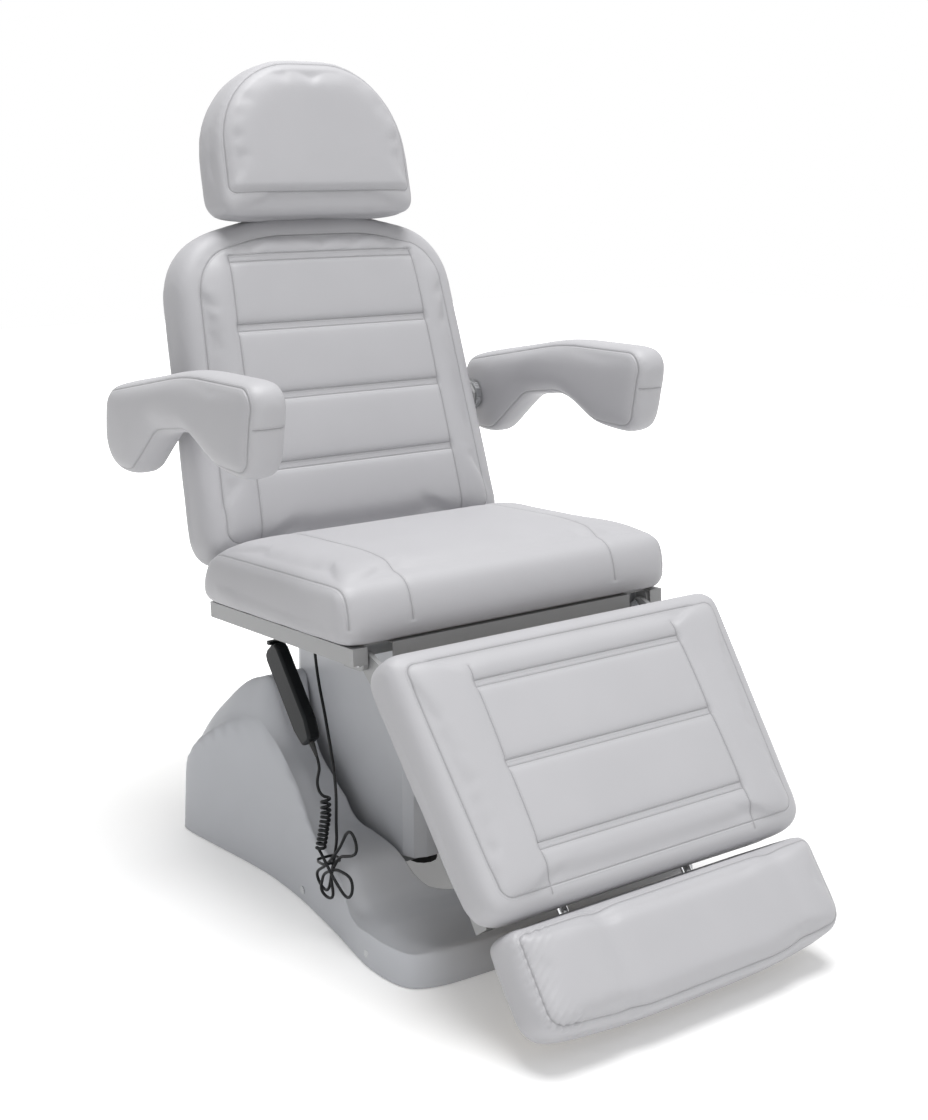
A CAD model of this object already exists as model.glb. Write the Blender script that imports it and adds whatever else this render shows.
"""Looks of a motorised podiatry chair: sewn leatherette pads, moulded base, curly handset cord and finishes.

Every size is in metres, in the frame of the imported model: X across, the sitter looks along -Y, Z up.
"""

import math

import bmesh
import bpy
import numpy as np
from bpy.props import FloatProperty, FloatVectorProperty, IntProperty, PointerProperty
from mathutils import Matrix


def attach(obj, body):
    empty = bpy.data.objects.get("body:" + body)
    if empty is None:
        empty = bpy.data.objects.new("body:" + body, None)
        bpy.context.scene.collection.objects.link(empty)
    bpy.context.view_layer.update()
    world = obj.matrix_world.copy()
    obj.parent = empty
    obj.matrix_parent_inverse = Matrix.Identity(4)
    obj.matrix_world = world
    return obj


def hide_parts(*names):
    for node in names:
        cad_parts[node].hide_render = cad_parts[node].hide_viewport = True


bl_info = {
    "name": "Podiatry chair looks",
    "version": (1, 0, 0),
    "blender": (4, 5, 0),
    "location": "3D View > Sidebar > Chair",
    "description": "Dresses the packed model of a podiatry chair",
    "category": "Object",
}

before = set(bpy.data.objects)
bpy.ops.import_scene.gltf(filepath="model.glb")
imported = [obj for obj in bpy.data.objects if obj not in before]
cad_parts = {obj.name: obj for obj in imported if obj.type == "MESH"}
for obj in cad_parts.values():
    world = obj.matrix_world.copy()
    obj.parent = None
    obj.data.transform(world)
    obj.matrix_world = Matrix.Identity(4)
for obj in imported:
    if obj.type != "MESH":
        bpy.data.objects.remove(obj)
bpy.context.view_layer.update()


# Flat frames of the pads: a point on the hinge side and the turn about X in degrees
FLAT = {
    "floor": ((0.0, 0.0, 0.0), 0.0),
    "seat": ((0.0, 0.204, 0.476), -3.1),
    "back": ((0.0, 0.235, 0.495), 74.0),
    "head": ((0.0, 0.42023, 1.14097), 78.0),
    "leg": ((0.0, -0.235, 0.465), 52.7),
    "arm": ((0.0, 0.305, 0.748), 0.0),
}


def turn_matrix(name):
    """Rotation about X that lays a flat frame's axes into the row frame."""
    angle = math.radians(FLAT[name][1])
    c, s = math.cos(angle), math.sin(angle)
    return np.array(((1, 0, 0), (0, c, -s), (0, s, c)), float)


def to_flat(points, name):
    """Row frame to flat frame: the origin is taken off, then the turn is undone."""
    return (points - np.array(FLAT[name][0])) @ turn_matrix(name)


def from_flat(points, name):
    """Flat frame to row frame: turned, then moved to the origin of the flat frame."""
    return points @ turn_matrix(name).T + np.array(FLAT[name][0])


# Mesh helpers

def points_of(mesh):
    points = np.empty(len(mesh.vertices) * 3)
    mesh.vertices.foreach_get("co", points)
    return points.reshape(-1, 3)


def normals_of(mesh):
    normals = np.empty(len(mesh.vertices) * 3)
    mesh.vertices.foreach_get("normal", normals)
    return normals.reshape(-1, 3)


def set_points(mesh, points):
    mesh.vertices.foreach_set("co", points.ravel())
    mesh.update()


def smooth(mesh):
    mesh.polygons.foreach_set("use_smooth", np.ones(len(mesh.polygons), bool))
    mesh.update()


def new_object(name, mesh):
    piece = bpy.data.objects.new(name, mesh)
    bpy.context.scene.collection.objects.link(piece)
    return piece


def grid_faces(rows, columns, wrap_rows=False, wrap_columns=False):
    """Quads of a grid of points stored row by row; a wrapped side joins its last line to its first."""
    r = np.arange(rows if wrap_rows else rows - 1)
    c = np.arange(columns if wrap_columns else columns - 1)
    r, c = np.meshgrid(r, c, indexing="ij")
    next_r = (r + 1) % rows
    next_c = (c + 1) % columns
    corners = (r * columns + c, r * columns + next_c, next_r * columns + next_c, next_r * columns + c)
    return np.stack([corner.ravel() for corner in corners], axis=1)


def mesh_from(name, points, faces, outward=True):
    """A smooth mesh from points and quads, with its doubles merged and its faces turned outwards."""
    mesh = bpy.data.meshes.new(name)
    mesh.from_pydata(points.tolist(), [], faces.tolist())
    shape = bmesh.new()
    shape.from_mesh(mesh)
    bmesh.ops.remove_doubles(shape, verts=shape.verts, dist=1e-5)
    if outward:
        bmesh.ops.recalc_face_normals(shape, faces=shape.faces)
    shape.to_mesh(mesh)
    shape.free()
    smooth(mesh)
    return mesh


def applied(piece):
    """Replaces a piece's mesh by its result with all modifiers, and drops the modifiers."""
    graph = bpy.context.evaluated_depsgraph_get()
    result = bpy.data.meshes.new_from_object(piece.evaluated_get(graph))
    piece.modifiers.clear()
    piece.data = result
    return result


def smoothstep(low, high, value):
    """Cubic step: 0 below low, 1 above high, with level ends."""
    share = np.clip((value - low) / (high - low), 0.0, 1.0)
    return share * share * (3.0 - 2.0 * share)


def relaxed(points, edges, rounds, share=0.5):
    """Moves each point towards the mean of its neighbours, a few rounds over."""
    count = len(points)
    ends = np.concatenate((edges[:, 0], edges[:, 1]))
    others = np.concatenate((edges[:, 1], edges[:, 0]))
    valence = np.maximum(np.bincount(ends, minlength=count), 1)[:, None]
    for _ in range(rounds):
        sums = [np.bincount(ends, weights=points[others, axis], minlength=count) for axis in range(3)]
        points = points + share * (np.stack(sums, axis=1) / valence - points)
    return points


def edges_of(mesh):
    edges = np.empty(len(mesh.edges) * 2, int)
    mesh.edges.foreach_get("vertices", edges)
    return edges.reshape(-1, 2)


# Node helpers

class Value:
    """A number in a node tree; sums, products and the like add Math nodes."""

    def __init__(self, tree, source):
        self.tree = tree
        self.source = source

    def math(self, operation, *others, clamp=False):
        node = self.tree.nodes.new("ShaderNodeMath")
        node.operation = operation
        node.use_clamp = clamp
        for socket, item in zip(node.inputs, (self, *others)):
            if isinstance(item, Value):
                self.tree.links.new(item.source, socket)
            else:
                socket.default_value = item
        return Value(self.tree, node.outputs[0])

    def __add__(self, other):
        return self.math("ADD", other)

    def __sub__(self, other):
        return self.math("SUBTRACT", other)

    def __mul__(self, other):
        return self.math("MULTIPLY", other)

    def __truediv__(self, other):
        return self.math("DIVIDE", other)

    def size(self):
        return self.math("ABSOLUTE")

    def above(self, other):
        return self.math("GREATER_THAN", other)

    def below(self, other):
        return self.math("LESS_THAN", other)

    def least(self, other):
        return self.math("MINIMUM", other)

    def most(self, other):
        return self.math("MAXIMUM", other)

    def ramp(self, low, high):
        """0 below low, 1 above high, straight between."""
        return ((self - low) / (high - low)).math("ADD", 0.0, clamp=True)


def group(name, inputs, outputs):
    """A shader node group with named number or vector inputs and outputs: its tree, its input node and
    its output node."""
    tree = bpy.data.node_groups.new(name, "ShaderNodeTree")
    for label, kind, default in inputs:
        socket = tree.interface.new_socket(label, in_out="INPUT", socket_type=f"NodeSocket{kind}")
        if default is not None:
            socket.default_value = default
    for label, kind in outputs:
        tree.interface.new_socket(label, in_out="OUTPUT", socket_type=f"NodeSocket{kind}")
    return tree, tree.nodes.new("NodeGroupInput"), tree.nodes.new("NodeGroupOutput")


def texture(tree, kind, vector, **values):
    """A texture node on a vector, with its sockets set by name."""
    node = tree.nodes.new(f"ShaderNodeTex{kind}")
    tree.links.new(vector, node.inputs["Vector"])
    for label, value in values.items():
        node.inputs[label].default_value = value
    return node


def grain_group():
    """Leather grain: small cells with soft edges, uneven over the hide, plus broad mottling."""
    tree, given, out = group(
        "Leather grain",
        [("Vector", "Vector", None), ("Cell", "Float", 0.0014), ("Unevenness", "Float", 0.35)],
        [("Height", "Float"), ("Mottle", "Float")],
    )
    spread = tree.nodes.new("ShaderNodeVectorMath")
    spread.operation = "SCALE"
    tree.links.new(given.outputs["Vector"], spread.inputs[0])
    scale = Value(tree, given.outputs["Cell"]).math("POWER", -1.0)
    tree.links.new(scale.source, spread.inputs["Scale"])
    cells = texture(tree, "Voronoi", spread.outputs[0], Scale=1.0, Randomness=0.9)
    fine = texture(tree, "Noise", spread.outputs[0], Scale=0.35, Detail=3.0)
    broad = texture(tree, "Noise", given.outputs["Vector"], Scale=9.0, Detail=2.0)
    bumps = Value(tree, cells.outputs["Distance"]).ramp(0.05, 0.75)
    uneven = (Value(tree, fine.outputs[0]) - 0.5) * Value(tree, given.outputs["Unevenness"])
    tree.links.new((bumps * -0.5 + uneven + 0.5).source, out.inputs["Height"])
    tree.links.new(Value(tree, broad.outputs[0]).ramp(0.3, 0.7).source, out.inputs["Mottle"])
    return tree


# Seams and threads of the pads
SEAM_WIDTH = 0.0015
STITCH_PITCH = 0.0052
STITCH_SHARE = 0.66
THREAD_OFFSET = 0.0028
THREAD_WIDTH = 0.0007


def panel_group():
    """Sewing of a pad: double channel seams across its flat frame, and two seams whose signed distances
    come with the mesh. Distances are in metres."""
    tree, given, out = group(
        "Sewn panels",
        [
            ("Place", "Vector", None), ("Rim", "Float", 1.0), ("Joint", "Float", 1.0),
            ("First", "Float", 0.1), ("Pitch", "Float", 0.1), ("Count", "Float", 3.0),
            ("Half Width", "Float", 0.2), ("Taper", "Float", 0.0), ("Band", "Float", 0.006),
            ("Face", "Float", 0.05),
        ],
        [("Height", "Float"), ("Seam", "Float"), ("Thread", "Float")],
    )

    def value(label):
        return Value(tree, given.outputs[label])

    split = tree.nodes.new("ShaderNodeSeparateXYZ")
    tree.links.new(given.outputs["Place"], split.inputs[0])
    across = Value(tree, split.outputs[0])
    along = Value(tree, split.outputs[1])
    side = across.size()
    row = ((along - value("First")) / value("Pitch")).math("ROUND").most(0.0).least(value("Count") - 1.0)
    from_row = along - value("First") - row * value("Pitch")
    half = value("Half Width") + value("Taper") * (along - value("First"))
    off = side.above(half) + value("Count").below(0.5) + Value(tree, split.outputs[2]).below(value("Face"))
    channel = (from_row.size() - value("Band")).size() + off
    distance = channel.least(value("Joint").size()).least(value("Rim").size())
    seam = distance.ramp(SEAM_WIDTH, 0.0)
    stitch = ((across + along) / STITCH_PITCH).math("FRACT").below(STITCH_SHARE)
    thread = (distance - THREAD_OFFSET).size().ramp(THREAD_WIDTH, 0.0) * stitch
    tree.links.new((thread * 0.5 - seam).source, out.inputs["Height"])
    tree.links.new(seam.source, out.inputs["Seam"])
    tree.links.new(thread.source, out.inputs["Thread"])
    return tree


def speckle_group():
    """Skin of a moulded or sprayed part: fine orange peel and a faint cloudiness."""
    tree, given, out = group(
        "Sprayed skin",
        [("Vector", "Vector", None), ("Peel", "Float", 900.0)],
        [("Height", "Float"), ("Cloud", "Float")],
    )
    peel = tree.nodes.new("ShaderNodeTexNoise")
    tree.links.new(given.outputs["Vector"], peel.inputs["Vector"])
    tree.links.new(given.outputs["Peel"], peel.inputs["Scale"])
    cloud = texture(tree, "Noise", given.outputs["Vector"], Scale=6.0, Detail=3.0)
    tree.links.new(peel.outputs[0], out.inputs["Height"])
    tree.links.new(Value(tree, cloud.outputs[0]).ramp(0.3, 0.7).source, out.inputs["Cloud"])
    return tree


def streak_group(name, stretch, detail):
    """Noise drawn out along one way, as in brushed metal or wood."""
    tree, given, out = group(
        name, [("Vector", "Vector", None)], [("Height", "Float"), ("Streak", "Float")])
    spread = tree.nodes.new("ShaderNodeVectorMath")
    spread.operation = "MULTIPLY"
    spread.inputs[1].default_value = stretch
    tree.links.new(given.outputs["Vector"], spread.inputs[0])
    noise = texture(tree, "Noise", spread.outputs[0], Scale=1.0, Detail=detail)
    tree.links.new(noise.outputs[0], out.inputs["Height"])
    tree.links.new(Value(tree, noise.outputs[0]).ramp(0.3, 0.7).source, out.inputs["Streak"])
    return tree


def brushed_group():
    """Drawn metal: streaks along X."""
    return streak_group("Brushed metal", (12.0, 700.0, 700.0), 3.0)


def ply_group():
    """Plywood: thin layers through Z, with grain along Y."""
    return streak_group("Plywood layers", (60.0, 3.0, 400.0), 4.0)


GROUPS = {}


def placed(tree, maker, vector=None, **values):
    """One of the shared groups, made on first use and placed in a material's tree."""
    if maker not in GROUPS:
        GROUPS[maker] = maker()
    node = tree.nodes.new("ShaderNodeGroup")
    node.node_tree = GROUPS[maker]
    if vector is not None:
        tree.links.new(vector, node.inputs["Vector"])
    for label, value in values.items():
        node.inputs[label.replace("_", " ")].default_value = value
    return node


def mixed(tree, factor, first, second):
    """A colour between two, by a factor; each is a colour or a socket."""
    node = tree.nodes.new("ShaderNodeMix")
    node.data_type = "RGBA"
    tree.links.new(factor, node.inputs["Factor"])
    for socket, item in ((node.inputs[6], first), (node.inputs[7], second)):
        if isinstance(item, bpy.types.NodeSocket):
            tree.links.new(item, socket)
        else:
            socket.default_value = (*item, 1.0)
    return node.outputs[2]


def ranged(tree, factor, low, high):
    """A number that goes from low to high as a factor goes from 0 to 1."""
    return (Value(tree, factor) * (high - low) + low).source


def bump(tree, height, distance, shader):
    node = tree.nodes.new("ShaderNodeBump")
    node.inputs["Distance"].default_value = distance
    node.inputs["Strength"].default_value = 1.0
    tree.links.new(height, node.inputs["Height"])
    tree.links.new(node.outputs[0], shader.inputs["Normal"])


def material(name, roughness=0.5, **sockets):
    """A new material: its tree, its Principled shader and its Object coordinates."""
    made = bpy.data.materials.new(name)
    made.use_nodes = True
    shader = made.node_tree.nodes["Principled BSDF"]
    shader.inputs["Roughness"].default_value = roughness
    for label, value in sockets.items():
        shader.inputs[label.replace("_", " ")].default_value = value
    place = made.node_tree.nodes.new("ShaderNodeTexCoord")
    return made, made.node_tree, shader, place.outputs["Object"]


def tinted(colour, share):
    return tuple(min(1.0, part * share) for part in colour)


def skin(name, colour, roughness, peel=900.0, depth=0.00004, **sockets):
    """Moulded plastic or sprayed paint."""
    made, tree, shader, place = material(name, **sockets)
    speckle = placed(tree, speckle_group, place, Peel=peel)
    colour_out = mixed(tree, speckle.outputs["Cloud"], tinted(colour, 0.97), tinted(colour, 1.03))
    tree.links.new(colour_out, shader.inputs["Base Color"])
    rough = ranged(tree, speckle.outputs["Cloud"], roughness * 0.9, roughness * 1.1)
    tree.links.new(rough, shader.inputs["Roughness"])
    bump(tree, speckle.outputs["Height"], depth, shader)
    return made


def metal(name, colour, roughness, depth=0.00002):
    made, tree, shader, place = material(name, Metallic=1.0)
    brushed = placed(tree, brushed_group, place)
    colour_out = mixed(tree, brushed.outputs["Streak"], tinted(colour, 0.9), colour)
    tree.links.new(colour_out, shader.inputs["Base Color"])
    rough = ranged(tree, brushed.outputs["Streak"], roughness * 0.8, roughness * 1.25)
    tree.links.new(rough, shader.inputs["Roughness"])
    bump(tree, brushed.outputs["Height"], depth, shader)
    return made


def plywood(name):
    made, tree, shader, place = material(name, roughness=0.7)
    layers = placed(tree, ply_group, place)
    colour_out = mixed(tree, layers.outputs["Streak"], (0.47, 0.38, 0.27), (0.55, 0.46, 0.34))
    tree.links.new(colour_out, shader.inputs["Base Color"])
    bump(tree, layers.outputs["Height"], 0.00008, shader)
    return made


# Tints of the leatherette in its mottling, seams and threads, its range of roughness, the height of its
# grain as a share of a seam's depth, and that depth
MOTTLE_TINT = 0.975
SEAM_TINT = 0.74
THREAD_TINT = 1.04
LEATHER_ROUGHNESS = (0.46, 0.56)
GRAIN_SHARE = 0.12
SEAM_RELIEF = 0.0009


def leatherette(name, flat_frame, sewing=None):
    """White leatherette with fine grain; a pad's sewing is drawn on the flat frame of that pad."""
    looks = bpy.context.scene.chair_looks
    light = tuple(looks.leather)
    made, tree, shader, place = material(name, Coat_Weight=0.0)
    origin, degrees = FLAT[flat_frame]
    flat = tree.nodes.new("ShaderNodeMapping")
    flat.vector_type = "TEXTURE"
    flat.inputs["Location"].default_value = origin
    flat.inputs["Rotation"].default_value = (math.radians(degrees), 0.0, 0.0)
    tree.links.new(place, flat.inputs["Vector"])
    grain = placed(tree, grain_group, place, Cell=looks.grain_cell)
    colour_out = mixed(tree, grain.outputs["Mottle"], tinted(light, MOTTLE_TINT), light)
    height = Value(tree, grain.outputs["Height"]) * GRAIN_SHARE
    if sewing:
        sewn = placed(tree, panel_group, **sewing)
        tree.links.new(flat.outputs[0], sewn.inputs["Place"])
        for label in ("Rim", "Joint"):
            stored = tree.nodes.new("ShaderNodeAttribute")
            stored.attribute_name = label
            tree.links.new(stored.outputs["Fac"], sewn.inputs[label])
        colour_out = mixed(tree, sewn.outputs["Seam"], colour_out, tinted(light, SEAM_TINT))
        colour_out = mixed(tree, sewn.outputs["Thread"], colour_out, tinted(light, THREAD_TINT))
        height = height + Value(tree, sewn.outputs["Height"])
    tree.links.new(colour_out, shader.inputs["Base Color"])
    tree.links.new(ranged(tree, grain.outputs["Mottle"], *LEATHER_ROUGHNESS), shader.inputs["Roughness"])
    bump(tree, height.source, SEAM_RELIEF, shader)
    return made


# Settings that a user may change

class ChairLooks(bpy.types.PropertyGroup):
    leather: FloatVectorProperty(
        name="Leatherette", description="Colour of the pads",
        default=(0.435, 0.433, 0.450), subtype="COLOR")
    cover: FloatVectorProperty(
        name="Base cover", description="Colour of the moulded base",
        default=(0.50, 0.512, 0.54), subtype="COLOR")
    paint: FloatVectorProperty(
        name="Painted steel", description="Colour of the tray and frame",
        default=(0.30, 0.302, 0.305), subtype="COLOR")
    black: FloatVectorProperty(
        name="Black plastic", description="Colour of the handset and cord",
        default=(0.007, 0.008, 0.009), subtype="COLOR")
    grain_cell: FloatProperty(
        name="Grain", description="Width of one grain cell of the leatherette",
        default=0.0014, min=0.0005, unit="LENGTH")
    voxel: FloatProperty(
        name="Cloth cell", description="Cell size of the cloth of a pad",
        default=0.0062, min=0.003, unit="LENGTH")
    cloth_frames: IntProperty(
        name="Cloth frames", description="Frames that the padding swells for", default=20, min=2)
    cord_diameter: FloatProperty(
        name="Cord", description="Diameter of the handset cord",
        default=0.0048, min=0.002, unit="LENGTH")
    key_light: FloatProperty(
        name="Key light", description="Power of the large lamp", default=330.0, min=0.0, unit="POWER")
    sky_light: FloatProperty(
        name="Sky light", description="Strength of the even light round the chair", default=0.44, min=0.0)


# Stage

def look_matrix(place, back, right):
    """Camera axes as columns: right, up and back, with the camera's place."""
    back = np.array(back) / np.linalg.norm(back)
    right = np.array(right) / np.linalg.norm(right)
    up = np.cross(back, right)
    matrix = np.identity(4)
    matrix[:3, 0], matrix[:3, 1], matrix[:3, 2], matrix[:3, 3] = right, up, back, place
    return Matrix(matrix.tolist())


# Camera worked out from the photograph's vanishing lines: its place, the way back from the chair, the way
# to the right, and its lens over an upright sensor, in millimetres
CAMERA_PLACE = (-1.5253, -2.2109, 1.1897)
CAMERA_BACK = (-0.57098, -0.78589, 0.23742)
CAMERA_RIGHT = (0.80902, -0.58779, 0.0)
CAMERA_LENS = 53.61
CAMERA_SENSOR = 36.0


def camera_at_photo():
    data = bpy.data.cameras.new("view")
    data.sensor_fit = "VERTICAL"
    data.sensor_height = CAMERA_SENSOR
    data.lens = CAMERA_LENS
    data.clip_end = 60.0
    camera = new_object("view", data)
    camera.matrix_world = look_matrix(CAMERA_PLACE, CAMERA_BACK, CAMERA_RIGHT)
    bpy.context.scene.camera = camera


def area_lamp(name, place, aim, size, power):
    data = bpy.data.lights.new(name, "AREA")
    data.shape = "DISK"
    data.size = size
    data.energy = power
    lamp = new_object(name, data)
    back = np.array(place, float) - np.array(aim, float)
    right = np.cross((0.0, 0.0, 1.0), back)
    lamp.matrix_world = look_matrix(place, back, right)


def white_world(strength):
    """Even sky light on the chair; the camera and mirrors see plain white."""
    world = bpy.data.worlds.new("sky")
    world.use_nodes = True
    tree = world.node_tree
    tree.nodes.clear()
    path = tree.nodes.new("ShaderNodeLightPath")
    seen = Value(tree, path.outputs["Is Camera Ray"]).most(Value(tree, path.outputs["Is Glossy Ray"]))
    seen = seen.most(Value(tree, path.outputs["Is Transmission Ray"]))
    shader = tree.nodes.new("ShaderNodeBackground")
    shader.inputs["Color"].default_value = (1.0, 1.0, 1.0, 1.0)
    tree.links.new((seen * (1.0 - strength) + strength).source, shader.inputs["Strength"])
    out = tree.nodes.new("ShaderNodeOutputWorld")
    tree.links.new(shader.outputs[0], out.inputs[0])
    bpy.context.scene.world = world


# Large lamp overhead and low lamp in front: place, point aimed at and width, and the power of the low one
# as a share of the large one's
KEY_PLACE = (0.0, -0.45, 6.0)
KEY_AIM = (0.0, 0.0, 0.5)
KEY_WIDTH = 3.5
FILL_PLACE = (-1.0, -2.8, 0.45)
FILL_AIM = (0.0, -0.2, 0.4)
FILL_WIDTH = 1.6
FILL_SHARE = 0.045

# Half the floor's side, its glow for the camera near the chair, the light that it throws back on the chair,
# and the distances in which the glow grows to full white
FLOOR_HALF = 9.0
FLOOR_GLOW = 0.22
FLOOR_BOUNCE = 0.12
FLOOR_NEAR = 0.7
FLOOR_FAR = 1.8


def floor_material():
    """Pale floor: the camera sees it glow a little near the chair, where the shadow is kept, and wholly
    white far out, so that it runs into the white backdrop."""
    made, tree, shader, place = material("pale_floor", roughness=0.9)
    cloud = texture(tree, "Noise", place, Scale=1.5, Detail=2.0)
    colour_out = mixed(tree, cloud.outputs[0], (0.80, 0.80, 0.80), (0.82, 0.82, 0.82))
    tree.links.new(colour_out, shader.inputs["Base Color"])
    path = tree.nodes.new("ShaderNodeLightPath")
    seen = Value(tree, path.outputs["Is Camera Ray"]).most(Value(tree, path.outputs["Is Glossy Ray"]))
    away = tree.nodes.new("ShaderNodeVectorMath")
    away.operation = "LENGTH"
    tree.links.new(place, away.inputs[0])
    far = Value(tree, away.outputs["Value"]).ramp(FLOOR_NEAR, FLOOR_FAR)
    glow = (far * (1.0 - FLOOR_GLOW) + FLOOR_GLOW) * seen + (seen * -FLOOR_BOUNCE + FLOOR_BOUNCE)
    tree.links.new(glow.source, shader.inputs["Emission Color"])
    shader.inputs["Emission Strength"].default_value = 1.0
    return made


def floor_plate():
    """A square floor, far wider than the view."""
    corners = [(-FLOOR_HALF, -FLOOR_HALF, 0.0), (FLOOR_HALF, -FLOOR_HALF, 0.0)]
    corners += [(-x, -y, 0.0) for x, y, z in corners]
    mesh = bpy.data.meshes.new("floor")
    mesh.from_pydata(corners, [], [(0, 1, 2, 3)])
    mesh.materials.append(floor_material())
    return new_object("floor", mesh)


class CHAIR_OT_stage(bpy.types.Operator):
    """Camera, lamps, sky and the pale floor"""
    bl_idname = "chair.stage"
    bl_label = "Stage"

    def execute(self, context):
        looks = context.scene.chair_looks
        context.scene.view_settings.view_transform = "Standard"
        camera_at_photo()
        white_world(looks.sky_light)
        area_lamp("key", KEY_PLACE, KEY_AIM, KEY_WIDTH, looks.key_light)
        area_lamp("fill", FILL_PLACE, FILL_AIM, FILL_WIDTH, looks.key_light * FILL_SHARE)
        floor_plate()
        return {"FINISHED"}


# Handset cord
# Route from the gland under the tray, down to the tie, round the loops of the hank, up the curls and
# into the handset. Millimetres, as in the part.

STRAND = (
    (-250.0, -60.0, 436.0), (-250.5, -65.0, 411.0), (-257.0, -84.0, 384.0), (-266.0, -112.0, 354.0),
    (-276.0, -139.0, 326.0), (-283.0, -160.0, 298.0), (-286.0, -172.0, 268.0), (-286.0, -175.0, 238.0),
    (-285.0, -172.0, 208.0), (-283.0, -168.5, 182.0), (-281.0, -166.0, 160.0),
)
CURL_LINE = (
    (-304.5, -156.5, 152.0), (-299.0, -157.5, 182.0), (-294.0, -156.5, 204.0), (-290.0, -150.0, 232.0),
)
DROP = (
    (-290.0, -131.0, 234.0), (-290.0, -125.0, 247.0), (-290.0, -130.0, 262.0), (-290.0, -135.0, 276.0),
    (-290.0, -127.0, 290.0),
)
TIE = (-280.0, -160.0, 132.0)
LOOPS = ((-125, 72, 21), (38, 92, 22), (-92, 62, 19), (-14, 84, 21))
LOOP_STEPS = 12
LOOP_PITCH = 6.2
CURL_RADIUS = 6.5
CURL_STEPS = 8
CURL_PITCHES = (5.7,) * 8 + (6.2, 7.0, 7.8)


def spline_points(points, name="route"):
    """Points along the NURBS line of a route, read from a curve with no bevel."""
    data = bpy.data.curves.new(name, "CURVE")
    data.dimensions = "3D"
    nurbs_line(data, points)
    holder = new_object(name, data)
    graph = bpy.context.evaluated_depsgraph_get()
    mesh = bpy.data.meshes.new_from_object(holder.evaluated_get(graph))
    found = points_of(mesh)
    bpy.data.objects.remove(holder)
    bpy.data.curves.remove(data)
    return found


def nurbs_line(data, points):
    line = data.splines.new("NURBS")
    line.points.add(len(points) - 1)
    flat = np.concatenate((np.asarray(points), np.ones((len(points), 1))), axis=1)
    line.points.foreach_set("co", flat.ravel())
    line.order_u = 3
    line.use_endpoint_u = True
    line.resolution_u = 6


def loop_points():
    """The hank's loops, one drop shape after another, each further out than the last."""
    share = np.arange(1, LOOP_STEPS) / LOOP_STEPS
    swell = np.sin(np.pi * share)
    loops = []
    for number, (direction, length, width) in enumerate(LOOPS):
        angle = math.radians(direction)
        out = np.array((0.0, -math.cos(angle), math.sin(angle)))
        side = np.array((0.0, -math.sin(angle), -math.cos(angle)))
        along = length * swell ** 0.75
        wide = width * np.sin(2 * np.pi * share) * (0.35 + 0.65 * swell)
        across = -LOOP_PITCH * (number + share)
        spots = np.array(TIE) + out * along[:, None] - side * wide[:, None]
        loops.append(spots + np.array((1.0, 0.0, 0.0)) * across[:, None])
    return np.concatenate(loops)


def curl_points():
    """The curls round their line, eight points to a turn, at the corners round a circle."""
    line = np.array(CURL_LINE)
    runs = np.diff(line, axis=0)
    lengths = np.concatenate(([0.0], np.cumsum(np.linalg.norm(runs, axis=1))))
    starts = np.concatenate(([0.0], np.cumsum(CURL_PITCHES)))
    turns = np.arange(len(CURL_PITCHES) * CURL_STEPS + 1) / CURL_STEPS
    travelled = np.interp(turns, np.arange(len(starts)), starts) / starts[-1] * lengths[-1]
    centres = np.stack([np.interp(travelled, lengths, line[:, axis]) for axis in range(3)], axis=1)
    ways = runs[np.clip(np.searchsorted(lengths, travelled) - 1, 0, len(runs) - 1)]
    ways /= np.linalg.norm(ways, axis=1, keepdims=True)
    first = np.cross(ways, (1.0, 0.0, 0.0))
    first /= np.linalg.norm(first, axis=1, keepdims=True)
    second = np.cross(ways, first)
    angle = 2 * np.pi * turns[:, None]
    radius = CURL_RADIUS / math.cos(math.pi / CURL_STEPS)
    return centres + radius * (first * np.cos(angle) + second * np.sin(angle))


def cord_route():
    """The whole route in metres: strand, loops of the hank, curls and the rise to the handset."""
    return np.concatenate((STRAND, loop_points(), curl_points(), DROP)) / 1000.0


def line_length(points):
    return float(np.linalg.norm(np.diff(points, axis=0), axis=1).sum())


class CHAIR_OT_cord(bpy.types.Operator):
    """Curly handset cord with its strand, hank and curls, in one piece"""
    bl_idname = "chair.cord"
    bl_label = "Handset cord"

    def execute(self, context):
        looks = context.scene.chair_looks
        route = cord_route()
        length = line_length(spline_points(route))
        data = bpy.data.curves.new("curly_cord", "CURVE")
        data.dimensions = "3D"
        nurbs_line(data, route)
        data.bevel_depth = looks.cord_diameter / 2
        data.bevel_resolution = 3
        data.use_fill_caps = True
        data.materials.append(
            skin("black_cord_sheath", tuple(looks.black), 0.42, peel=1400.0, Specular_IOR_Level=0.2))
        cord = new_object("curly_cord", data)
        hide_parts("handset_cord", "cord_return", "cord_bundle")
        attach(cord, "lift")
        band = tie_band()
        band.data.materials.append(skin("tie_plastic", tinted(tuple(looks.black), 1.4), 0.35))
        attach(band, "lift")
        return {"FINISHED"}


# Cable tie: half its ring across and along the hank, half the band's width, and its outer face as a share
TIE_ACROSS = 0.0160
TIE_ALONG = 0.0120
TIE_HALF_WIDTH = 0.0022
TIE_OUTER_SHARE = 1.08


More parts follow.
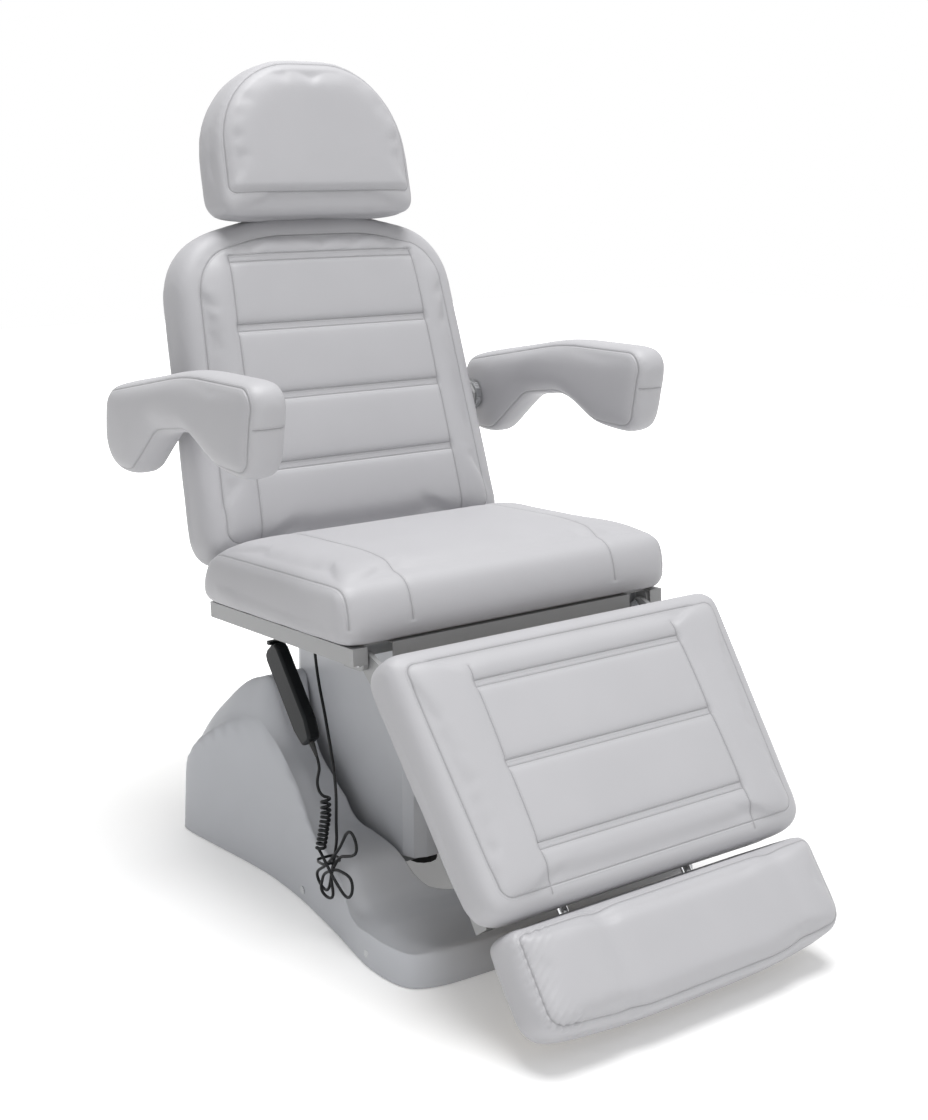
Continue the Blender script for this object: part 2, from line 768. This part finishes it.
def tie_band():
    """Cable tie round the waist of the hank: a flat band on a rounded rectangle."""
    turn = np.linspace(0, 2 * np.pi, 48, endpoint=False)
    centre = np.array(TIE) / 1000.0 - np.array((LOOP_PITCH * len(LOOPS) / 2000.0, 0.0, 0.0))
    across = TIE_ACROSS * np.sign(np.cos(turn)) * np.abs(np.cos(turn)) ** 0.5
    along = TIE_ALONG * np.sign(np.sin(turn)) * np.abs(np.sin(turn)) ** 0.5
    rows = []
    for way, grown in ((1, 1.0), (1, TIE_OUTER_SHARE), (-1, TIE_OUTER_SHARE), (-1, 1.0)):
        height = np.full(len(turn), centre[2] + way * TIE_HALF_WIDTH)
        rows.append(np.stack((centre[0] + across * grown, centre[1] + along * grown, height), axis=1))
    faces = grid_faces(len(rows), len(turn), wrap_rows=True, wrap_columns=True)
    return new_object("hank_tie", mesh_from("hank_tie", np.concatenate(rows), faces))


# Pads
# Each outline lies flat: corner points, then a radius for each corner. Each row of a profile gives a
# height as a share of the thickness, then the insets of the sides as shares of the pad's reach.

def rounded(points, radii, sides=12):
    """A closed outline with each corner turned into a run of short sides."""
    points = np.asarray(points, float)
    loop = []
    for corner, before, after, radius in zip(points, np.roll(points, 1, 0), np.roll(points, -1, 0), radii):
        before = (before - corner) / np.linalg.norm(before - corner)
        after = (after - corner) / np.linalg.norm(after - corner)
        half = 0.5 * math.acos(np.clip(before @ after, -1, 1))
        turn = math.pi - 2 * half
        centre = corner + (before + after) / np.linalg.norm(before + after) * radius / math.sin(half)
        start = corner + before * radius / math.tan(half) - centre
        end = corner + after * radius / math.tan(half) - centre
        share = np.linspace(0, 1, sides + 1)[:, None]
        arc = np.sin((1 - share) * turn) * start + np.sin(share * turn) * end
        loop.append(centre + arc / math.sin(turn))
    return np.concatenate(loop)


def flat_cross(first, second):
    return first[:, 0] * second[:, 1] - first[:, 1] * second[:, 0]


def drawn_in(points, insets):
    """Corners of an outline with each side moved inwards by its own inset; side n runs from corner n."""
    points = np.asarray(points, float)
    along = np.roll(points, -1, 0) - points
    along /= np.linalg.norm(along, axis=1, keepdims=True)
    cross = points[:, 0] * np.roll(points[:, 1], -1) - np.roll(points[:, 0], -1) * points[:, 1]
    inward = np.stack((-along[:, 1], along[:, 0]), axis=1) * np.sign(cross.sum())
    start = points + inward * np.asarray(insets, float)[:, None]
    before, way = np.roll(start, 1, 0), np.roll(along, 1, 0)
    step = flat_cross(start - before, along) / flat_cross(way, along)
    return before + way * step[:, None]


def inset_loop(points, radii, insets):
    mean = float(np.mean(insets))
    return rounded(drawn_in(points, insets), [max(radius - mean, radius / 2) for radius in radii])


def pad_solid(name, pad):
    """Closed body of a pad in the row frame: its outline drawn in at each height of its profile."""
    rings = []
    for height, insets in pad["layers"]:
        loop = inset_loop(pad["points"], pad["radii"], insets)
        rings.append(np.column_stack((loop, np.full(len(loop), height))))
    rows, columns = len(rings), len(rings[0])
    points = np.concatenate(rings)
    if pad.get("upright"):
        points = points[:, (2, 0, 1)] * (pad["upright"], 1.0, 1.0)
    faces = grid_faces(rows, columns, wrap_columns=True).tolist()
    faces += [list(range(columns)), list(range((rows - 1) * columns, rows * columns))]
    mesh = bpy.data.meshes.new(name)
    mesh.from_pydata(from_flat(points, pad["frame"]).tolist(), [], faces)
    shape = bmesh.new()
    shape.from_mesh(mesh)
    bmesh.ops.recalc_face_normals(shape, faces=shape.faces)
    shape.to_mesh(mesh)
    shape.free()
    return mesh


def mirrored_outline(right):
    """Both halves of an outline, from the corners on the positive side."""
    return right + [(-x, y) for x, y in reversed(right)]


def signed_distance(spots, loop):
    """Distance of flat points to a closed outline, less than 0 inside."""
    least = np.full(len(spots), 1e9)
    crossings = np.zeros(len(spots), int)
    for start, end in zip(loop, np.roll(loop, -1, 0)):
        way = end - start
        if way @ way < 1e-12:
            continue
        share = np.clip((spots - start) @ way / (way @ way), 0, 1)
        least = np.minimum(least, np.hypot(*(spots - start - share[:, None] * way).T))
        spans = (spots[:, 1] >= min(start[1], end[1])) & (spots[:, 1] < max(start[1], end[1]))
        if way[1]:
            crossings += spans & (spots[:, 0] < start[0] + (spots[:, 1] - start[1]) / way[1] * way[0])
    return np.where(crossings % 2, -least, least)


def voxel_cells(piece, size):
    cells = piece.modifiers.new("cells", "REMESH")
    cells.mode = "VOXEL"
    cells.voxel_size = size
    return applied(piece)


# Cloth of the pads, the height of the pinned underside, the rounds that smooth the swelling, how far it may
# draw a cover inwards, and how full the foam is
CLOTH = {
    "quality": 4, "mass": 0.3, "tension_stiffness": 12, "compression_stiffness": 12, "bending_stiffness": 1.5,
    "use_pressure": True, "uniform_pressure_force": 4.0,
}
PINNED_HEIGHT = 0.006
SWELL_ROUNDS = 4
LARGEST_PULL = 0.0015


def swollen(piece, flat_frame, cap, frames):
    """Cloth on the piece, pinned at its underside and blown up; each point moves by the cap at most,
    and hardly inwards."""
    mesh = piece.data
    start = points_of(mesh)
    outward = normals_of(mesh)
    flat = to_flat(start, flat_frame)
    pinned = piece.vertex_groups.new(name="underside")
    held = np.nonzero(flat[:, 2] < flat[:, 2].min() + PINNED_HEIGHT)[0]
    pinned.add(held.tolist(), 1.0, "REPLACE")
    cloth = piece.modifiers.new("cloth", "CLOTH")
    for label, value in CLOTH.items():
        setattr(cloth.settings, label, value)
    cloth.settings.vertex_group_mass = "underside"
    cloth.settings.effector_weights.gravity = 0.0
    cloth.point_cache.frame_start = 1
    cloth.point_cache.frame_end = frames
    scene = bpy.context.scene
    for number in range(1, frames + 1):
        scene.frame_set(number)
    mesh = applied(piece)
    scene.frame_set(1)
    moved = points_of(mesh) - start
    moved = relaxed(moved, edges_of(mesh), SWELL_ROUNDS)
    reach = np.linalg.norm(moved, axis=1, keepdims=True)
    moved *= cap * np.tanh(reach / cap) / np.maximum(reach, 1e-9)
    out = (moved * outward).sum(axis=1, keepdims=True)
    moved += outward * (np.maximum(out, -LARGEST_PULL) - out)
    set_points(mesh, start + moved)
    return mesh


def fitted(points, low, high):
    """Stretches points along each axis so that their box is the given one."""
    mine_low, mine_high = points.min(0), points.max(0)
    return (points - mine_low) / (mine_high - mine_low) * (high - low) + low


def subdivided(piece):
    finer = piece.modifiers.new("finer", "SUBSURF")
    finer.levels = finer.render_levels = 1
    return applied(piece)


def seam_distances(flat, pad):
    """Signed distances to the boxing seam and to the upright or end seam; 1 where a seam ends."""
    sewing = pad["sewing"]
    spots = flat[:, 1:] if pad.get("upright") else flat[:, :2]
    rim = signed_distance(spots, inset_loop(pad["points"], pad["radii"], pad["rim"]))
    joint = np.full(len(flat), 1.0)
    if pad.get("upright"):
        y, z = pad["joint"]
        beside = (flat[:, 1] < y) & (rim > CREASE_WIDTH)
        joint = np.where(beside, flat[:, 2] - z, joint)
        return rim, joint
    rim = np.where(flat[:, 2] > sewing["Face"], rim, 1.0)
    if pad["joint"]:
        start, end = pad["joint"]
        half = sewing["Half_Width"] + sewing["Taper"] * (flat[:, 1] - sewing["First"])
        within = (flat[:, 1] > start) & (flat[:, 1] < end) & (flat[:, 2] > sewing["Face"])
        joint = np.where(within, np.abs(flat[:, 0]) - half, joint)
    return rim, joint


# Depth of the panels between the channels and the edge over which they rise to the sides, the edge in which
# a channel ends, the two widths of a channel's shoulders and the steep one's share, the depth and width of a
# crease at a seam, the edges of a raised face and of the sewn side, and the depth, pitch and width of puckers
PANEL_SINK = 0.0028
PANEL_EDGE = (-0.002, 0.022)
CHANNEL_END = (-0.004, 0.008)
STEEP_WIDTH = 0.0035
SOFT_WIDTH = 0.016
STEEP_SHARE = 0.55
CREASE = 0.0018
CREASE_WIDTH = 0.004
RAISED_EDGE = 0.014
FACE_EDGE = 0.012
PUCKER = 0.0014
PUCKER_PITCH = 0.017
PUCKER_WIDTH = 0.012


def sewn_depth(flat, pad, rim, joint):
    """How far the cover is pulled in: channels with a flat welt and round shoulders, the panels between
    them a little lower than the sides, creases along the other seams, and the dents of the foot pad."""
    sewing = pad["sewing"]
    first, pitch, count = sewing["First"], sewing["Pitch"], sewing["Count"]
    pulled = np.zeros(len(flat))
    if count:
        half = sewing["Half_Width"] + sewing["Taper"] * (flat[:, 1] - first)
        row = np.clip(np.round((flat[:, 1] - first) / pitch), 0, count - 1)
        beside = np.maximum(np.abs(flat[:, 1] - first - row * pitch) - sewing["Band"], 0)
        inside = 1 - smoothstep(*CHANNEL_END, np.abs(flat[:, 0]) - half)
        trough = STEEP_SHARE * np.exp(-beside / STEEP_WIDTH)
        trough += (1 - STEEP_SHARE) * np.exp(-beside / SOFT_WIDTH)
        start, end = pad["joint"]
        ends = smoothstep(-0.01, 0.03, flat[:, 1] - start) * smoothstep(-0.01, 0.03, end - flat[:, 1])
        sunk = PANEL_SINK * (1 - smoothstep(*PANEL_EDGE, np.abs(flat[:, 0]) - half)) * ends
        pulled = pad["depth"] * trough * inside + sunk
    pulled += CREASE * (np.exp(-np.abs(joint) / CREASE_WIDTH) + np.exp(-np.abs(rim) / CREASE_WIDTH))
    if pad.get("raised"):
        pulled -= pad["raised"] * smoothstep(0.0, RAISED_EDGE, -rim)
    for place, deep, wide in pad.get("dents", ()):
        pulled += deep * np.exp(-((flat[:, 0] - place) / wide) ** 2)
    if pad.get("pucker"):
        ripple = np.sin((flat[:, 1] * 1.3 - flat[:, 0]) * 2 * np.pi / PUCKER_PITCH)
        pulled += PUCKER * ripple * np.exp(-np.abs(rim) / PUCKER_WIDTH) * (flat[:, 0] < pad["pucker"])
    if pad.get("upright"):
        return pulled
    return pulled * smoothstep(-FACE_EDGE, 0.0, flat[:, 2] - sewing["Face"])


def make_pad(name):
    """One padded piece on its CAD node's space: cells, swelling, one subdivision, then the sewing."""
    looks = bpy.context.scene.chair_looks
    pad = PADS[name]
    node, flat_frame = pad["node"], pad["frame"]
    box = to_flat(points_of(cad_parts[node].data), flat_frame)
    low, high = box.min(0) - pad["below"], box.max(0) + pad["above"]
    piece = new_object(name, pad_solid(name, pad))
    mesh = voxel_cells(piece, looks.voxel)
    points = relaxed(points_of(mesh), edges_of(mesh), pad["rounds"])
    set_points(mesh, points)
    mesh = swollen(piece, flat_frame, pad["cap"], looks.cloth_frames)
    flat = fitted(to_flat(points_of(mesh), flat_frame), low, high)
    set_points(mesh, from_flat(flat, flat_frame))
    mesh = subdivided(piece)
    points, normals = points_of(mesh), normals_of(mesh)
    flat = to_flat(points, flat_frame)
    rim, joint = seam_distances(flat, pad)
    set_points(mesh, points - normals * sewn_depth(flat, pad, rim, joint)[:, None])
    for label, values in (("Rim", rim), ("Joint", joint)):
        mesh.attributes.new(label, "FLOAT", "POINT").data.foreach_set("value", values)
    smooth(mesh)
    mesh.materials.clear()
    mesh.materials.append(leatherette(f"leatherette_{name}", flat_frame, pad["sewing"]))
    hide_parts(node)
    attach(piece, pad["body"])
    return piece


def layers_of(profile, low, thickness, reach, sides):
    """Heights and insets of a pad whose sides all follow one profile."""
    return [(low + thickness * high, [reach * inset] * sides) for high, inset in profile]


SOFT_EDGE = (
    (0.00, 0.110), (0.07, 0.030), (0.20, 0.000), (0.62, 0.000), (0.80, 0.040), (0.90, 0.130), (0.96, 0.270),
    (1.00, 0.560),
)
SEAT_EDGE = (
    (0.00, 0.060, 0.090, 0.050), (0.10, 0.010, 0.015, 0.026), (0.25, 0.000, 0.000, 0.030),
    (0.52, 0.016, 0.000, 0.082), (0.80, 0.070, 0.020, 0.210), (0.94, 0.150, 0.090, 0.350),
    (1.00, 0.300, 0.240, 0.520), (1.13, 1.000, 1.000, 1.000),
)
HEAD_EDGE = (
    (0.00, 0.150, 0.400), (0.08, 0.030, 0.200), (0.22, 0.000, 0.060), (0.55, 0.000, 0.000),
    (0.84, 0.020, 0.000), (0.93, 0.110, 0.020), (0.98, 0.260, 0.090), (1.00, 0.560, 0.300),
)
ARM_EDGE = ((0.00, 0.75), (0.16, 0.36), (0.50, 0.09), (1.00, 0.00))


# A pad with no sewing and no change to the box of its node
PLAIN = {"First": 0.0, "Pitch": 1.0, "Count": 0, "Half_Width": 0.0, "Taper": 0.0, "Band": 0.006}
PLAIN_PAD = {"depth": 0.0, "joint": None, "below": (0.0, 0.0, 0.0), "above": (0.0, 0.0, 0.0)}


def seat_pad():
    half, length, thickness, reach = 0.320, 0.4617, 0.098, 0.160
    layers = [(thickness * high, [reach * front, reach * side, reach * rear, reach * side])
              for high, front, side, rear in SEAT_EDGE]
    return PLAIN_PAD | {
        "node": "seat_cushion", "body": "lift", "frame": "seat",
        "points": [(-half, -length), (half, -length), (half, 0.0), (-half, 0.0)], "radii": [0.034] * 4,
        "layers": layers, "rounds": 14, "cap": 0.012, "rim": [-0.5, 0.016, -0.5, 0.016],
        "joint": (-0.480, -0.02), "below": (0.0, 0.0, 0.0077), "above": (0.0, 0.0, 0.002),
        "sewing": PLAIN | {"Half_Width": 0.196, "Face": 0.02},
    }


def back_pad():
    right = [(0.304, 0.0135), (0.272, 0.554), (0.109, 0.594)]
    return PLAIN_PAD | {
        "node": "back_cushion", "body": "back", "frame": "back", "points": mirrored_outline(right),
        "radii": [0.044, 0.118, 0.356, 0.356, 0.118, 0.044],
        "layers": layers_of(SOFT_EDGE, -0.016, 0.100, 0.090, 6), "rounds": 14, "cap": 0.014,
        "depth": 0.0055, "rim": [0.034] * 6, "joint": (0.03, 0.528), "above": (0.0, 0.005, 0.003),
        "sewing": PLAIN | {
            "First": 0.167, "Pitch": 0.118, "Count": 4, "Half_Width": 0.200, "Taper": -0.048, "Face": 0.060},
    }


def head_pad():
    right = [(0.196, -0.064), (0.190, 0.192)]
    rear, thickness, reach = 0.030, 0.095, 0.060
    layers = [(rear + thickness * high, [reach * side] * 3 + [reach * low]) for high, side, low in HEAD_EDGE]
    return PLAIN_PAD | {
        "node": "head_cushion", "body": "headrest", "frame": "head", "points": mirrored_outline(right),
        "radii": [0.026, 0.160, 0.160, 0.026], "layers": layers, "rounds": 10, "cap": 0.008,
        "rim": [0.016, 0.016, 0.016, 0.022], "raised": 0.004, "below": (0.0, 0.018, 0.0),
        "sewing": PLAIN | {"Face": 0.098},
    }


def leg_pad():
    return PLAIN_PAD | {
        "node": "leg_cushion", "body": "leg", "frame": "leg",
        "points": [(-0.320, -0.031), (-0.301, -0.432), (0.301, -0.432), (0.320, -0.031)],
        "radii": [0.030, 0.042, 0.042, 0.030], "layers": layers_of(SOFT_EDGE, 0.056, 0.083, 0.070, 4),
        "rounds": 10, "cap": 0.010, "depth": 0.0055, "rim": [0.026] * 4, "joint": (-0.420, -0.075),
        "above": (0.0, 0.0, 0.002),
        "sewing": PLAIN | {
            "First": -0.350, "Pitch": 0.122, "Count": 3, "Half_Width": 0.194, "Band": 0.005, "Face": 0.115},
    }


def foot_pad():
    half, near, end, belly, belly_share = 0.290, -0.440, -0.594, -0.611, 0.45
    right = [(half, near), (half, end), (half * belly_share, belly)]
    points = [(-x, y) for x, y in right] + right[::-1]
    return PLAIN_PAD | {
        "node": "foot_cushion", "body": "foot", "frame": "leg", "points": points,
        "radii": [0.020, 0.040, 0.290, 0.290, 0.040, 0.020],
        "layers": layers_of(SOFT_EDGE, 0.056, 0.083, 0.040, 6), "rounds": 8, "cap": 0.008,
        "rim": [0.014] * 6, "raised": 0.002, "dents": ((-0.140, 0.0050, 0.020), (0.195, 0.0045, 0.022)),
        "pucker": -0.225, "above": (0.0, 0.0, 0.002), "sewing": PLAIN | {"Face": 0.118},
    }


def arm_pad(node, body, side):
    shares = (
        (0.004, 0.000, 0.190), (0.420, 0.010, 3.000), (0.966, 0.296, 0.200), (1.000, 0.990, 0.300),
        (0.800, 1.000, 0.270), (0.616, 0.592, 0.400), (0.436, 0.520, 0.400), (0.246, 0.724, 0.480),
        (0.056, 0.735, 0.170),
    )
    length, height, inner, width, edge = 0.528, 0.196, 0.323, 0.086, 0.028
    points = [(along * length - 0.465, 0.126 - down * height) for along, down, corner in shares]
    layers = [(inner + edge * deep, [edge * inset] * len(points)) for deep, inset in ARM_EDGE]
    layers += [(inner + width - edge * deep, [edge * inset] * len(points)) for deep, inset in ARM_EDGE[::-1]]
    return PLAIN_PAD | {
        "node": node, "body": body, "frame": "arm", "points": points,
        "radii": [corner * height for along, down, corner in shares], "layers": layers, "upright": side,
        "rounds": 14, "cap": 0.008, "rim": [0.009] * len(points), "joint": (-0.43, 0.058),
        "sewing": PLAIN | {"Face": -1.0},
    }


PADS = {
    "seat_pad": seat_pad(),
    "back_pad": back_pad(),
    "head_pad": head_pad(),
    "leg_pad": leg_pad(),
    "foot_pad": foot_pad(),
    "arm_pad_plus_x": arm_pad("arm_pad_right", "arm_right", 1.0),
    "arm_pad_minus_x": arm_pad("arm_pad_left", "arm_left", -1.0),
}


class PadStep:
    """What the operators of the pads share: each makes its own pads"""

    def execute(self, context):
        for name in self.pads:
            make_pad(name)
        return {"FINISHED"}


class CHAIR_OT_seat(PadStep, bpy.types.Operator):
    """Seat pad with its two side seams"""
    bl_idname = "chair.seat"
    bl_label = "Seat pad"
    pads = ("seat_pad",)


class CHAIR_OT_back(PadStep, bpy.types.Operator):
    """Back pad with four sewn channels"""
    bl_idname = "chair.back"
    bl_label = "Back pad"
    pads = ("back_pad",)


class CHAIR_OT_head(PadStep, bpy.types.Operator):
    """Headrest pad"""
    bl_idname = "chair.head"
    bl_label = "Headrest pad"
    pads = ("head_pad",)


class CHAIR_OT_leg(PadStep, bpy.types.Operator):
    """Leg pad with three sewn channels"""
    bl_idname = "chair.leg"
    bl_label = "Leg pad"
    pads = ("leg_pad",)


class CHAIR_OT_foot(PadStep, bpy.types.Operator):
    """Foot pad with a boxed face"""
    bl_idname = "chair.foot"
    bl_label = "Foot pad"
    pads = ("foot_pad",)


class CHAIR_OT_arms(PadStep, bpy.types.Operator):
    """Both armrest pads"""
    bl_idname = "chair.arms"
    bl_label = "Armrest pads"
    pads = ("arm_pad_plus_x", "arm_pad_minus_x")


# Base cover
# Stations from front to rear, as in the part: place along Y, half width at the floor, height of the side
# ridge and height of the top, as shares of the half length, half width and height in millimetres

COVER_SIZES = (396.0, 301.0, 328.0, 328.0)
COVER_SHARES = (
    (-1.000, 0.680, 0.150, 0.160), (-0.970, 0.880, 0.160, 0.176), (-0.910, 0.975, 0.165, 0.180),
    (-0.720, 1.000, 0.167, 0.182), (-0.500, 0.950, 0.185, 0.203), (-0.404, 0.925, 0.295, 0.320),
    (-0.100, 0.868, 0.410, 0.445), (0.040, 0.852, 0.560, 0.592), (0.200, 0.843, 0.700, 0.735),
    (0.260, 0.843, 0.735, 0.835), (0.340, 0.850, 0.765, 1.000), (0.455, 0.862, 0.760, 0.990),
    (0.680, 0.895, 0.660, 0.815), (0.880, 0.922, 0.460, 0.560), (0.950, 0.915, 0.330, 0.430),
    (1.000, 0.840, 0.130, 0.160),
)
COVER = np.array(COVER_SHARES) * np.array(COVER_SIZES)


def cover_levels(y):
    """Half width, ridge and top of the cover at places along Y: a smooth line through the stations,
    by cubic pieces whose slope at each station is the mean of its two runs."""
    place = COVER[:, 0]
    slopes = np.gradient(COVER[:, 1:], place, axis=0)
    index = np.clip(np.searchsorted(place, y) - 1, 0, len(place) - 2)
    run = (place[index + 1] - place[index])[:, None]
    share = np.clip((y - place[index])[:, None] / run, 0, 1)
    start, end = COVER[index, 1:], COVER[index + 1, 1:]
    square, cube = share ** 2, share ** 3
    level = start * (2 * cube - 3 * square + 1) + slopes[index] * run * (cube - 2 * square + share)
    return level + end * (3 * square - 2 * cube) + slopes[index + 1] * run * (cube - square)


def rounded_plan(points, rounds=4):
    """A closed outline with its corners cut again and again until it is smooth."""
    for _ in range(rounds):
        after = np.roll(points, -1, 0)
        points = np.stack((points * 0.75 + after * 0.25, points * 0.25 + after * 0.75), axis=1).reshape(-1, 2)
    return points


def polar_reach(outline, angles):
    """Distance of a star-shaped outline from the middle, at each angle."""
    angle = np.arctan2(outline[:, 1], outline[:, 0])
    order = np.argsort(angle)
    angle, reach = angle[order], np.hypot(outline[:, 0], outline[:, 1])[order]
    angle = np.concatenate((angle[-1:] - 2 * np.pi, angle, angle[:1] + 2 * np.pi))
    reach = np.concatenate((reach[-1:], reach, reach[:1]))
    return np.interp(angles, angle, reach)


def soft_least(a, b, round_by):
    """The lesser of two heights, with the corner between them rounded off."""
    share = np.clip(0.5 + 0.5 * (b - a) / round_by, 0, 1)
    return b * (1 - share) + a * share - round_by * share * (1 - share)


# Opening round the column, the rolled edge there, and the wall at the floor edge, in millimetres
OPENING_HALF, OPENING_FRONT_HALF = 170.0, 112.0
OPENING_REAR, OPENING_BEND, OPENING_FRONT = 203.0, -150.0, -232.0
ROLL = np.array(((0.0, -16.0), (0.0, -9.0), (0.3, -5.5), (1.4, -2.6), (3.2, -0.8), (6.0, 0.0)))
WALL_SLOPE = 16.0
WALL_ROUND = 26.0
FLOOR_EDGE = 2.0


def cover_surface(columns=720):
    """The cover as a surface between two outlines round the same middle: the opening and the floor edge.
    Height is the station's top, sloping to the ridge near the sides, cut by a steep wall at the edge;
    the inner edge is rolled down round the opening."""
    angles = np.linspace(-np.pi, np.pi, columns, endpoint=False)
    side = COVER[:, (1, 0)]
    plan = np.concatenate((side, side[::-1] * (-1, 1)))
    outer = polar_reach(rounded_plan(plan, 3), angles)
    opening = np.array((
        (OPENING_HALF, OPENING_REAR), (-OPENING_HALF, OPENING_REAR), (-OPENING_HALF, OPENING_BEND),
        (-OPENING_FRONT_HALF, OPENING_FRONT), (OPENING_FRONT_HALF, OPENING_FRONT),
        (OPENING_HALF, OPENING_BEND),
    ))
    inner = polar_reach(rounded_plan(opening, 2), angles)
    rolled = ROLL[:, :1] + inner
    away = np.concatenate((np.linspace(0.02, 0.80, 34), 1 - np.geomspace(0.19, 0.0008, 26), (1.0,)))
    reach = np.concatenate((rolled, rolled[-1] + (outer - rolled[-1]) * away[:, None]))
    sink = np.concatenate((ROLL[:, 1], np.zeros(len(away))))
    x, y = reach * np.cos(angles), reach * np.sin(angles)
    levels = cover_levels(np.clip(y.ravel(), COVER[0, 0], COVER[-1, 0]))
    wide, ridge, top = (levels[:, index].reshape(x.shape) for index in range(3))
    share = np.abs(x) / wide
    height = top - (top - ridge) * smoothstep(0.84, 0.965, share)
    wall = FLOOR_EDGE + (outer - reach) * WALL_SLOPE
    height = soft_least(height, wall, WALL_ROUND)
    height = np.maximum(height + sink[:, None], FLOOR_EDGE)
    height[-1] = FLOOR_EDGE
    points = np.stack((x, y, height), axis=2).reshape(-1, 3) / 1000.0
    return mesh_from("base_shell", points, grid_faces(len(reach), columns, wrap_columns=True))


class CHAIR_OT_base(bpy.types.Operator):
    """Moulded cover of the base"""
    bl_idname = "chair.base"
    bl_label = "Base cover"

    def execute(self, context):
        looks = context.scene.chair_looks
        mesh = cover_surface()
        if normals_of(mesh)[:, 2].mean() < 0:
            mesh.flip_normals()
        shell = new_object("base_shell", mesh)
        wall = shell.modifiers.new("wall", "SOLIDIFY")
        wall.thickness = 0.004
        wall.offset = -1.0
        applied(shell)
        smooth(shell.data)
        shell.data.materials.append(skin(
            "moulded_cover", tuple(looks.cover), 0.42, peel=700.0, depth=0.00005,
            Specular_IOR_Level=0.25))
        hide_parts("base_cover")
        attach(shell, "base")
        return {"FINISHED"}


# Finishes of the CAD nodes

class CHAIR_OT_finishes(bpy.types.Operator):
    """Finished materials on the rigid pieces that keep their CAD shape"""
    bl_idname = "chair.finishes"
    bl_label = "Rigid finishes"

    def execute(self, context):
        looks = context.scene.chair_looks
        made = {
            "white_leatherette": leatherette("leatherette_plain", "floor"),
            "white_cover": skin("cover_plastic", tuple(looks.cover), 0.36, peel=700.0),
            "white_paint": skin("white_powder_coat", tuple(looks.paint), 0.34, peel=1100.0),
            "grey_paint": skin("grey_powder_coat", (0.30, 0.31, 0.32), 0.4, peel=1100.0),
            "bare_steel": metal("drawn_steel", (0.56, 0.57, 0.58), 0.32),
            "chromed_steel": metal("chromed_steel", (0.78, 0.79, 0.80), 0.10),
            "plywood": plywood("plywood"),
            "black_plastic": skin(
                "black_moulded_plastic", tuple(looks.black), 0.38, peel=1300.0, depth=0.00008,
                Specular_IOR_Level=0.15),
            "grey_key": skin("grey_key_rubber", (0.09, 0.10, 0.11), 0.5),
            "black_cord": skin("black_cord_plain", tuple(looks.black), 0.42),
            "black_rubber": skin("black_rubber", (0.02, 0.02, 0.02), 0.75, peel=500.0, depth=0.0001),
            "bearing_plastic": skin("bearing_plastic", (0.62, 0.60, 0.55), 0.45),
            "actuator_grey": skin("actuator_housing", (0.14, 0.145, 0.15), 0.4, peel=800.0, depth=0.00008),
        }
        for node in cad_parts.values():
            for slot in node.material_slots:
                old = slot.material.name.split(".")[0] if slot.material else ""
                if old in made:
                    slot.material = made[old]
        return {"FINISHED"}


class CHAIR_PT_panel(bpy.types.Panel):
    """Buttons for every piece, and the settings"""
    bl_idname = "CHAIR_PT_panel"
    bl_label = "Podiatry chair"
    bl_space_type = "VIEW_3D"
    bl_region_type = "UI"
    bl_category = "Chair"

    def draw(self, context):
        looks = context.scene.chair_looks
        for label in looks.bl_rna.properties.keys():
            if label not in ("rna_type", "name"):
                self.layout.prop(looks, label)
        for step in STEPS:
            self.layout.operator(step.bl_idname)


STEPS = (
    CHAIR_OT_stage, CHAIR_OT_cord, CHAIR_OT_base, CHAIR_OT_finishes, CHAIR_OT_seat, CHAIR_OT_back,
    CHAIR_OT_head, CHAIR_OT_leg, CHAIR_OT_foot, CHAIR_OT_arms,
)


def register():
    bpy.utils.register_class(ChairLooks)
    bpy.types.Scene.chair_looks = PointerProperty(type=ChairLooks)
    for step in STEPS:
        bpy.utils.register_class(step)
    bpy.utils.register_class(CHAIR_PT_panel)


def unregister():
    bpy.utils.unregister_class(CHAIR_PT_panel)
    for step in reversed(STEPS):
        bpy.utils.unregister_class(step)
    del bpy.types.Scene.chair_looks
    bpy.utils.unregister_class(ChairLooks)


def main():
    register()
    for step in STEPS:
        tool, name = step.bl_idname.split(".")
        getattr(getattr(bpy.ops, tool), name)()


if __name__ == "__main__":
    main()
